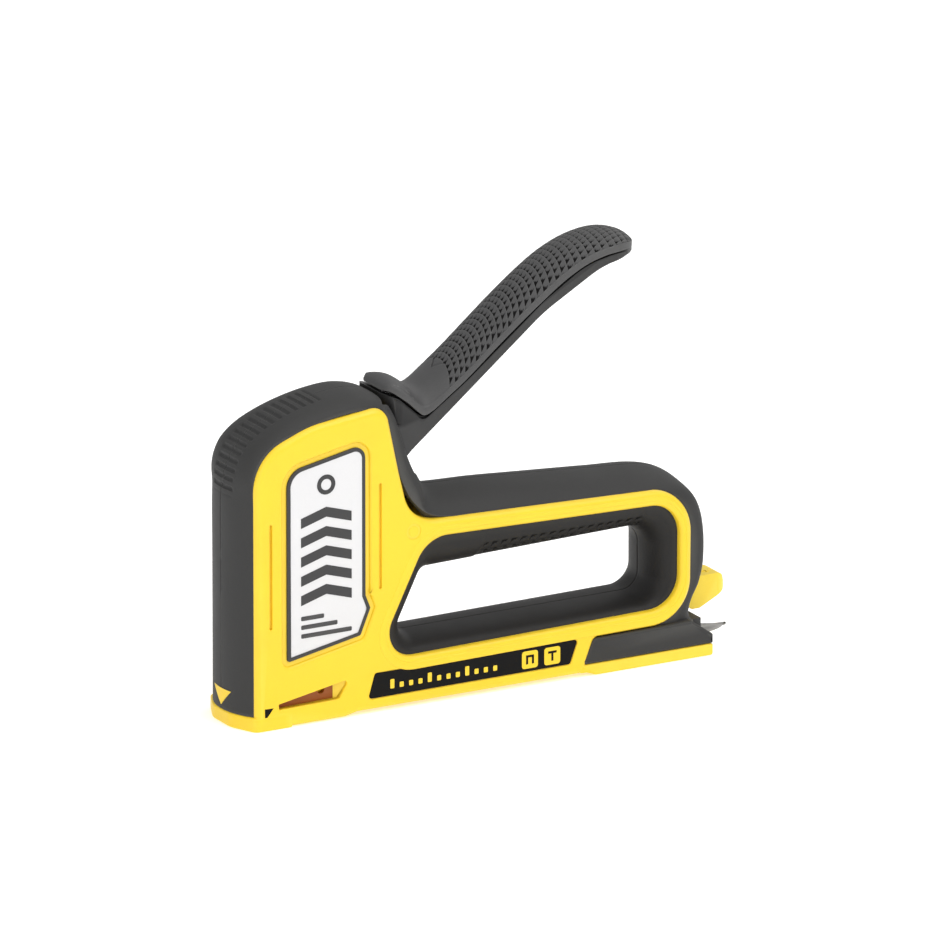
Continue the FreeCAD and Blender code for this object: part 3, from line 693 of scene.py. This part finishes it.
def rear_block():
    """Left half of the hard-edged block at the foot of the rear, round latch and magazine."""
    block = relief("left_rear_block", [(rounded(REAR_BLOCK), 1.0)], -HALF, -0.02)
    carve(block, bar("latch_gap", (157, 176), (-LATCH_HALF, LATCH_HALF), (5, 26)),
          bar("tunnel_gap", (100, 180), (-TUNNEL_HALF, TUNNEL_HALF), (-1, TUNNEL_TOP)))
    return block


left_mould = join("left_soft_band", overmould_half(), rear_block())


# ---------------------------------------------------------------- hand-hole liner
def liner_half():
    """Left half of the lining of the hand hole, crowned, with rows of small triangular pits."""
    edge = spaced_pair(rounded(HOLE_EDGE, 16), rounded(HOLE_CREST, 16), 0.4)
    rim, crest = edge
    y = np.concatenate([np.linspace(-13.4, -1.0, 42, endpoint=False), [-1.0, -0.6, -0.35, -0.15, 0]])
    height = np.linalg.norm(crest - rim, axis=1)
    reach = 13.4
    grid = np.empty((len(rim), len(y), 3))
    curve = np.sqrt(np.clip(1 - (np.abs(y) / reach) ** 2.3, 0, 1))
    spread = crest - rim
    x = rim[:, None, 0] + spread[:, None, 0] * curve
    z = rim[:, None, 1] + spread[:, None, 1] * curve
    direction = spread / height[:, None]
    pitch_x, pitch_y = 3.6, 2.6
    row = np.floor(np.abs(y)[None, :] / pitch_y)
    local_x = ((x / pitch_x + 0.5 * (row % 2)) % 1) - 0.5
    local_y = ((np.abs(y)[None, :] / pitch_y) % 1) - 0.5
    inside = np.clip(0.32 - np.maximum(np.abs(local_y) * 1.1 + local_x * 0.6, -local_x) * 1.0, 0, 0.06)
    region = (ease(x, 86, 89) * (1 - ease(x, 146, 149)) * (z > 40)
              * (1 - ease(np.abs(y)[None, :], 11.6, 12.4)))
    pits = 0.5 * (inside / 0.06) * region
    step = 0.35 * ease(x, 86.2, 87.6) * (1 - ease(x, 147.5, 149)) * (z > 38)
    seam = 0.25 * np.exp(-(y / 0.2) ** 2)[None, :]
    drop = pits + step + seam
    grid[:, :, 0] = x - direction[:, None, 0] * drop
    grid[:, :, 1] = y[None, :]
    grid[:, :, 2] = z - direction[:, None, 1] * drop
    # Points deep in the pits are marked so that their faces get painted shade.
    return skin("left_lining", grid, 1.4, looped=True, pits=pits > 0.25)


def spaced_pair(first, second, step):
    """Two closed outlines with the same number of corners, divided alike, as arrays."""
    a, b = [], []
    for i in range(len(first)):
        j = (i + 1) % len(first)
        count = max(1, math.ceil(max(math.dist(first[i], first[j]),
                                     math.dist(second[i], second[j])) / step))
        for k in range(count):
            a.append(np.array(first[i]) + (np.array(first[j]) - np.array(first[i])) * k / count)
            b.append(np.array(second[i]) + (np.array(second[j]) - np.array(second[i])) * k / count)
    return np.array(a), np.array(b)


left_lining = liner_half()


# ---------------------------------------------------------------- lever
def lever_tip():
    """Plan limit of the lever with its rounded end."""
    return relief("lever_plan_limit", [(rounded(LEVER_PLAN), 0)], 60, 152, plane="XY")


def lever_hard_body():
    """Hard lower part of the lever: side bars, rounded edges, hub on the pivot pin."""
    lowered = [(x, z - 0.8, radius) for x, z, radius in LEVER_SPLIT]
    bar_part = prism("lever_bar", single(rounded(lowered + LEVER_UNDER, 8), 0.05),
                     -BAR_HALF, BAR_HALF)
    seam = single(rounded(LEVER_SPLIT, 8), 0.3)
    core = prism("lever_core", [(x, z - 0.05) for x, z in seam]
                 + [(x, z - 1.3) for x, z in reversed(seam)], -CORE_HALF, CORE_HALF)
    hub = lathe("lever_hub", PIVOT, [(8.5, -11.8), (8.5, 11.8)], sides=56)
    carve(bar_part, core, operation="UNION")
    carve(bar_part, lever_tip(), operation="INTERSECT")
    carve(bar_part, hub, operation="UNION")
    carve(bar_part, bar("arm_way", (30, PIVOT[0]), (-3.3, 3.3), (70, 100)),
          drum("pin_bore", PIVOT, 2.56, -13, 13))
    corners = bar("head_corners", (45, 60), (-13, 13), (96, 113))
    keep = relief("head_plan", [(rounded([(51.0, -12.2, 8.5), (75, -12.2, 0), (75, 12.2, 0),
                                          (51.0, 12.2, 8.5)]), 0)], 90, 118, plane="XY")
    carve(bar_part, carve(corners, keep))
    return soften(bar_part, 0.3, segments=2)


# Crown of the grip at the mid-plane and its lower edge at the side, matched station by station.
GRIP_PATH = [
    (52.6, 107.2, 52.7, 107.4), (53.2, 107.3, 53.9, 109.0), (54.8, 106.9, 56.0, 110.0),
    (57.0, 105.3, 58.8, 109.7), (59.8, 103.1, 61.3, 108.2), (62.4, 100.6, 63.8, 106.2),
    (65.2, 98.4, 67.5, 106.0), (68.5, 99.3, 72.0, 108.2), (73.5, 102.7, 77.0, 111.8),
    (81.6, 108.5, 85.3, 118.4), (91.5, 116.6, 95.0, 126.4), (101.0, 124.1, 104.0, 133.8),
    (110.5, 131.2, 112.3, 139.8), (118.0, 136.4, 119.5, 143.9), (126, 140.6, 127, 146.6),
    (133.5, 142.8, 134.2, 148.0), (140, 143.4, 140.2, 148.1), (144.6, 143.1, 144.9, 146.8),
    (147.0, 142.7, 147.2, 144.9), (147.9, 142.4, 148.0, 142.9),
]


def lever_soft_grip():
    """Soft upper part: plain edge band, groove, then a crown with rows of triangular treads."""
    travel, value = through(GRIP_PATH, 0.26)
    edge, crown = value[:, :2], value[:, 2:]
    across = np.linspace(-1, 1, 109)
    # Half width along the lever: full, with a rounded end in plan at the tip and over the head.
    tip = np.clip(148.1 - edge[:, 0], 0, 12)
    heel = np.clip(edge[:, 0] - 52.3, 0, 9)
    half = np.minimum(np.sqrt(144 - (12 - tip) ** 2), 3.5 + 8.5 * np.sqrt(1 - (1 - heel / 9) ** 2))
    spread = crown - edge
    height = np.linalg.norm(spread, axis=1)
    y = across[None, :] * half[:, None]
    u = np.abs(across)[None, :]
    wall = np.minimum(1.5 / np.maximum(height, 2.5), 0.6)[:, None]
    crown_arc = 1 - (1 - np.sqrt(np.clip(1 - (u * 0.80) ** 2, 0, 1))) / (1 - math.sqrt(1 - 0.64))
    lip = (1 - np.clip((u - 0.93) / 0.07, 0, 1) ** 2.2) ** 0.5
    profile = np.where(u < 0.93, wall + (1 - wall) * np.clip(crown_arc, 0, 1) ** 0.9, 0)
    edge_value = wall + (1 - wall) * (1 - (1 - math.sqrt(1 - (0.93 * 0.80) ** 2))
                                      / (1 - math.sqrt(1 - 0.64))) ** 0.9
    profile = np.where(u < 0.93, profile, edge_value * lip)
    x = edge[:, None, 0] + spread[:, None, 0] * profile
    z = edge[:, None, 1] + spread[:, None, 1] * profile
    direction = spread / np.maximum(height, 0.5)[:, None]
    # Treads: rows across the grip, each row a line of triangles, alternate rows half a step over.
    along = travel[:, None]
    start, end, pitch, step = 29.0, travel[-1] - 4.0, 2.55, 2.15
    row = np.floor((along - start) / pitch)
    v = ((along - start) / pitch) % 1
    h = ((y / step + 0.5 * (row % 2)) % 1) - 0.5
    half_gap = 0.56 * (1 - v / 0.96)
    depth_in = np.clip(np.minimum(half_gap - np.abs(h), np.minimum(v - 0.03, 0.9 - v)) / 0.10, 0, 1)
    region = ((along > start) & (along < end)) * (u < 0.93)
    drop = 0.7 * depth_in * region
    # Plain channel that parts the edge band from the crown, and the arrow notch at the shoulder.
    channel = 0.2 * np.exp(-((u - 0.945) / 0.01) ** 2) * ease(along, 24, 28)
    notch = 0.6 * (1 - ease(np.abs(np.abs(y) * 1.1 - (along - 25.5)), 0.35, 0.7)) * (np.abs(y) < 4.0) \
        * (along > 25) * (along < 30)
    drop = drop + channel + notch
    grid = np.stack([x - direction[:, None, 0] * drop, y, z - direction[:, None, 1] * drop], axis=2)
    base = np.stack([np.broadcast_to(edge[:, None, 0], x.shape), y,
                     np.broadcast_to(edge[:, None, 1] - 0.25, x.shape)], axis=2)
    # Points deep in the treads are returned as pits, whose faces get painted shade.
    return grid, base, depth_in * region > 0.3


def closed_between(name, top, bottom, pits):
    """Closed solid between two grids that have the same layout; pits marks points in pits, whose faces
    get painted shade.
    """
    n, m = top.shape[:2]
    points = [tuple(p) for p in top.reshape(-1, 3)] + [tuple(p) for p in bottom.reshape(-1, 3)]
    size = n * m
    faces, tints = [], []
    for i in range(n - 1):
        for j in range(m - 1):
            a, b, c, d = i * m + j, i * m + j + 1, (i + 1) * m + j + 1, (i + 1) * m + j
            faces += [(a, b, c, d), (size + d, size + c, size + b, size + a)]
            tints += [int(pits[i, j] and pits[i + 1, j + 1]), 0]
    rim = ([j for j in range(m)] + [i * m + m - 1 for i in range(1, n)]
           + [(n - 1) * m + j for j in range(m - 2, -1, -1)] + [i * m for i in range(n - 2, 0, -1)])
    faces += [(b, a, size + a, size + b) for a, b in zip(rim, rim[1:] + rim[:1])]
    return mesh_object(name, points, faces, tints + [0] * len(rim))


lever_body = lever_hard_body()
lever_body.name = "lever_hard_body"
lever_grip = closed_between("lever_soft_grip", *lever_soft_grip())


# ---------------------------------------------------------------- labels and marks
def label_parts():
    """Frame, plate and a generic graphic of stacked chevrons and bars on the left side."""
    outline = rounded(LABEL)
    frame_piece = relief("left_label_rim", [(grown(outline, -0.1), 0.35), (grown(outline, -1.4), 0.3)],
                         FACE + 0.15, FACE + 1.1)
    plate_piece = relief("left_label_card", [(grown(outline, -1.3), 0.15)], FACE + 0.35, FACE + 1.1)
    marks = []
    slope = 0.30
    for k in range(5):
        low = 41.0 + 6.6 * k
        wide = (17.6, 36.4)
        mid = (wide[0] + wide[1]) / 2
        rise = slope * (wide[1] - wide[0]) / 2
        chevron = [(wide[0], low), (mid, low + rise), (wide[1], low), (wide[1], low + 3.4),
                   (mid, low + rise + 3.4), (wide[0], low + 3.4)]
        marks.append(relief("chevron_%d" % k, [(chevron, 0.05)], FACE + 0.24, FACE + 0.5))
    for k, length in enumerate((18.8, 13.5, 8.5)):
        low = 29.8 + 3.0 * k
        strip = oblong(17.6, low, length, 1.5, 0.4, 4)
        marks.append(relief("label_bar_%d" % k, [(strip, 0.05)], FACE + 0.24, FACE + 0.5))
    marks.append(relief("label_ring", [(circle((27, 81.2), radius, 40), 0.05) for radius in (3.4, 1.9)],
                        FACE + 0.24, FACE + 0.5))
    return frame_piece, plate_piece, join("left_label_graphic", *marks)


def decal_parts():
    """Black base strip with a generic row of ticks and two fastener pictures."""
    strip = relief("left_base_strip", [(rounded(DECAL), 0.12)], FACE + 0.08, FACE + 0.6)
    ticks = []
    for k in range(12):
        left = 50.6 + 3.5 * k
        tall = 3.2 if k % 4 == 0 else 1.8
        tick = oblong(left, 7.6, 1.5, tall, 0.3, 3)
        ticks.append(relief("tick_%d" % k, [(tick, 0.04)], FACE + 0.0, FACE + 0.3))
    squares, pictures = [], []
    for left in (99.9, 108.3):
        square = oblong(left, 6.4, 6, 6, 1)
        squares.append(relief("square", [(square, 0.05)], FACE + 0.0, FACE + 0.3))
    staple = [(101.4, 7.9), (102.2, 7.9), (102.2, 10.2), (103.6, 10.2), (103.6, 7.9), (104.4, 7.9),
              (104.4, 11.0), (101.4, 11.0)]
    nail = [(110.9, 7.7), (111.7, 7.7), (111.7, 10.3), (112.9, 10.3), (112.9, 11.1), (109.7, 11.1),
            (109.7, 10.3), (110.9, 10.3)]
    for shape in (staple, nail):
        pictures.append(relief("picture", [(shape, 0.03)], FACE - 0.06, FACE + 0.2))
    return (strip, join("left_strip_ticks", *ticks), join("left_strip_squares", *squares),
            join("left_strip_pictures", *pictures))


def window_well():
    """Back of the front window, deep with a small hole and coloured dark amber as painted shade,
    and the ramp at its end, whose lighter yellow is painted light.
    """
    back = prism("left_window_back", [(8, -13.3), (31.2, -13.3), (31.2, -11), (8, -11)], 5.6, 14.4,
                 plane="XY")
    carve(back, drum("window_bore", (26.0, 10.4), 1.3, -16, -9))
    ramp = prism("left_window_ramp", [(30.4, -13.3), (36.4, -15.4), (36.4, -11), (30.4, -11)],
                 5.6, 14.4, plane="XY")
    return back, ramp


def foot_mark():
    """Small dark triangle let into the side of the foot."""
    return relief("left_foot_mark", [(FOOT_TRIANGLE, 0.02)], FACE + 0.12,
                  FACE + 0.5)


def nose_marker():
    """Small raised yellow triangle on the front of the band, centred on the seam."""
    rows = []
    for z in np.linspace(6.5, 12.1, 15):
        half = 0.06 + 5.54 * (z - 6.5) / 5.6
        rows.append([(band_front(y) - 0.12, y, z) for y in np.linspace(-half, half, 25)])
    return skin("nose_marker", np.array(rows), -0.5)


def band_front(y):
    """X of the overmould's front surface at a distance from the mid-plane."""
    height = 4.6
    radius = (MOULD_EDGE ** 2 + height ** 2) / (2 * height)
    return 0.8 - (math.sqrt(radius ** 2 - y ** 2) - (radius - height))


def nose_foot():
    """Yellow foot below the band, rounded across the nose, hollow for the magazine."""
    foot = relief("nose_foot", [(spaced(rounded(NOSE_PLAN), 1.5), 0.7)], 4.95, 0.05, plane="XY",
                  both=True)
    carve(foot, bar("foot_tunnel", (5.4, 60), (-TUNNEL_HALF, TUNNEL_HALF), (1.3, 12)),
          bar("foot_exit", (3.8, 6.2), (-6.4, 6.4), (-1, 3)))
    return foot


# ---------------------------------------------------------------- latch and staple lifter
def latch_tab():
    """Yellow thumb tab of the magazine latch with a raised arrow on its upper face."""
    tab = prism("latch_tab_body", single(rounded(LATCH_TAB, 8), 0.05), -5, 5)
    tip = relief("tab_plan", [(rounded([(150, -5, 0), (183.8, -5, 4.4), (183.8, 5, 4.4),
                                        (150, 5, 0)]), 0)], 5, 30, plane="XY")
    carve(tab, tip, operation="INTERSECT")
    apply_all(soften(tab, 0.9))
    arrow_plan = [(174.4, -1.1), (177.2, -1.1), (177.2, -2.4), (180.0, 0), (177.2, 2.4),
                  (177.2, 1.1), (174.4, 1.1)]
    arrow = prism("latch_arrow", arrow_plan, 24.0, 24.62, plane="XY")
    hub = lathe("latch_hub", (158.4, 19.3),
                [(2.0, -5), (2.4, -4.6), (2.4, 4.6), (2.0, 5)])
    return join("latch_tab", tab, arrow, hub)


def staple_blade():
    """Pointed, dished leaf of the staple lifter with a raised middle rib."""
    stations = np.linspace(0, 1, 40)
    across = np.linspace(-1, 1, 25)
    rows = np.empty((len(stations), len(across), 3))
    for i, t in enumerate(stations):
        x = 166.4 + 19.2 * t
        if t < 0.28:
            half = 3.4
        else:
            q = (t - 0.28) / 0.72
            half = 3.4 + 1.6 * math.sin(min(q * 4, 1) * math.pi / 2) * (1 - q) - 3.35 * q ** 2.2
        half = max(half, 0.12)
        for j, a in enumerate(across):
            rib = 0.35 * math.exp(-(a / 0.28) ** 2)
            rows[i, j] = (x, half * a, 5.25 - 0.35 * a * a + rib - 0.5 * t ** 2)
    return skin("staple_blade", rows, -0.8)


# ---------------------------------------------------------------- putting it together
label_rim, label_card, label_graphic = label_parts()
strip, strip_ticks, strip_squares, strip_pictures = decal_parts()
window_back, window_ramp = window_well()
SIDED = [
    (left_mould, "soft_band", "black_rubber", ("overmold",)),
    (left_lining, "lining", "black_liner", ("hole_liner",)),
    # Painted shade: the window's back is dark amber for the shade inside the recess.
    (window_back, "window_back", "window_painted_shade", ()),
    # Painted light: the ramp wears the lighter latch yellow so that it looks lit.
    (window_ramp, "window_ramp", "yellow_latch", ()),
    (foot_mark(), "foot_mark", "decal_black", ()),
    (label_rim, "label_rim", "label_edge", ("label_frame",)),
    (label_card, "label_card", "label_white", ("label_plate",)),
    (label_graphic, "label_graphic", "label_edge", ()),
    (strip, "base_strip", "decal_black", ("base_decal",)),
    (strip_ticks, "strip_ticks", "yellow_shell", ()),
    (strip_squares, "strip_squares", "yellow_shell", ()),
    (strip_pictures, "strip_pictures", "decal_black", ()),
]


def shell_inside(side):
    """Inner part of a housing half: the CAD half between the two side walls."""
    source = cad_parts[side + "_shell"]
    item = bpy.data.objects.new(side + "_housing_inside", source.data.copy())
    bpy.context.scene.collection.objects.link(item)
    clean(item)
    keep = bar("keep", (-0.4, 180), (-12.85, 12.85), (0.1, 120))
    return carve(item, keep, operation="INTERSECT")


insides = {side: shell_inside(side) for side in ("left", "right")}
for piece, word, slot, nodes in SIDED:
    piece.name = "left_" + word
    twin = mirrored("right_" + word, piece)
    smooth(piece)
    smooth(twin)
    for side, item in (("left", piece), ("right", twin)):
        covered = [side + "_" + node for node in nodes]
        dress(item, slot, "housing", *covered)
left_side.name = "left_housing_side"
walls = {"left": left_side, "right": mirrored("right_housing_side", screw_side)}
bpy.data.objects.remove(screw_side)
for side in ("left", "right"):
    dress(smooth(walls[side]), "yellow_shell", "housing")
    dress(smooth(insides[side]), "yellow_shell", "housing", side + "_shell")

EXTRAS = [
    (nose_foot(), "yellow_shell", "housing", ()),
    (nose_marker(), "yellow_shell", "housing", ()),
    (lever_body, "lever_plastic", "lever", ("lever_body",)),
    (lever_grip, "lever_rubber", "lever", ("lever_grip",)),
    (latch_tab(), "yellow_latch", "latch", ("magazine_latch",)),
    (staple_blade(), "tool_steel", "magazine", ("staple_lifter",)),
]
for piece, slot, body, nodes in EXTRAS:
    smooth(piece)
    dress(piece, slot, body, *nodes)

def compressed_spring(name, node, body, axis, end):
    """Copy of a CAD coil that stays as drawn, riding on a body; the seat at the given end (0 low, 1
    high) of the axis is worked out.
    """
    item = bpy.data.objects.new(name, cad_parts[node].data.copy())
    bpy.context.scene.collection.objects.link(item)
    clean(item)
    smooth(item)
    dress(item, "spring_steel", body, node)
    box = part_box(node)
    seat = [(low + high) / 2 for low, high in zip(*box)]
    seat[axis] = box[end][axis]
    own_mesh(item)


compressed_spring("drive_coil", "power_spring", "driver", 2, 0)
compressed_spring("pusher_coil", "pusher_spring", "magazine", 0, 1)

# The rest of the mechanism inside keeps its CAD shape and gets the same finishes.
KEPT = {
    "plated_steel": ["magazine_channel", "lever_pivot_pin", "latch_pin", "pusher_rod"],
    "tool_steel": ["driver_blade", "nose_guide", "lever_arm", "core_rail", "hammer_carrier"],
    "spring_steel": ["lever_return_spring", "latch_spring"],
    "screw_steel": ["housing_screws"],
    "bumper_rubber": ["bumper"],
    "black_plastic": ["spring_cap", "magazine_end_cap", "pusher"],
}
for slot, names in KEPT.items():
    for name in names:
        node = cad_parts[name]
        for index in range(max(1, len(node.data.materials))):
            if index < len(node.data.materials):
                node.data.materials[index] = FINISHES[slot]
            else:
                node.data.materials.append(FINISHES[slot])


# ---------------------------------------------------------------- floor, light and camera
def studio():
    """Wide pale floor, soft lights all round and the camera."""
    scene = bpy.context.scene
    floor_material, tree, surface, node = shader("studio_floor")
    where = node("ShaderNodeTexCoord").outputs["Object"]
    cloud = node("ShaderNodeTexNoise", {"Vector": where, "Scale": 3.0, "Detail": 4})
    tint = node("ShaderNodeMapRange", {"Value": cloud.outputs["Fac"], "To Min": 0.93, "To Max": 0.97})
    paint = node("ShaderNodeCombineColor", {0: tint.outputs[0], 1: tint.outputs[0],
                                            2: tint.outputs[0]})
    tree.links.new(paint.outputs[0], surface.inputs["Base Color"])
    surface.inputs["Roughness"].default_value = 0.9
    surface.inputs["Specular IOR Level"].default_value = 0.1
    surface.inputs["Emission Color"].default_value = (1, 1, 1, 1)
    surface.inputs["Emission Strength"].default_value = 0.38
    work = bmesh.new()
    bmesh.ops.create_grid(work, x_segments=24, y_segments=24, size=30)
    mesh = bpy.data.meshes.new("studio_floor")
    work.to_mesh(mesh)
    work.free()
    floor = bpy.data.objects.new("studio_floor", mesh)
    scene.collection.objects.link(floor)
    for face in mesh.polygons:
        face.use_smooth = True
    mesh.materials.append(floor_material)

    def softbox(name, azimuth, elevation, distance, size, power, warm=1.0):
        light = bpy.data.lights.new(name, "AREA")
        light.shape = "RECTANGLE"
        light.size, light.size_y = size
        light.energy = power
        light.color = (1.0, 0.985 * warm, 0.96 * warm)
        holder = bpy.data.objects.new(name, light)
        scene.collection.objects.link(holder)
        a, e = math.radians(azimuth), math.radians(elevation)
        offset = Vector((math.sin(a) * math.cos(e), -math.cos(a) * math.cos(e), math.sin(e)))
        holder.location = Vector((0, 0, 0.07)) + offset * distance
        holder.rotation_euler = (-offset).to_track_quat("-Z", "Y").to_euler()

    softbox("key_light", 25, 48, 1.3, (0.9, 0.9), 7.6)
    softbox("front_light", -60, 22, 1.4, (0.9, 1.1), 4.4)
    softbox("top_light", 20, 88, 1.3, (1.1, 1.1), 4.2)
    softbox("rear_light", 120, 35, 1.5, (0.9, 0.9), 3.0)
    scene.view_settings.view_transform = "Standard"
    world = bpy.data.worlds.new("studio")
    scene.world = world
    world.use_nodes = True
    world.node_tree.nodes["Background"].inputs["Color"].default_value = (1, 1, 1, 1)
    world.node_tree.nodes["Background"].inputs["Strength"].default_value = 0.55

    data = bpy.data.cameras.new("camera")
    data.lens = 800
    data.sensor_width = 36
    camera = bpy.data.objects.new("camera", data)
    scene.collection.objects.link(camera)
    view = Vector((0.4624, 0.8341, -0.3007)).normalized()
    camera.location = Vector((0.0, 0.0, 0.0704)) - view * 6.922
    camera.rotation_euler = view.to_track_quat("-Z", "Y").to_euler()
    scene.camera = camera


studio()
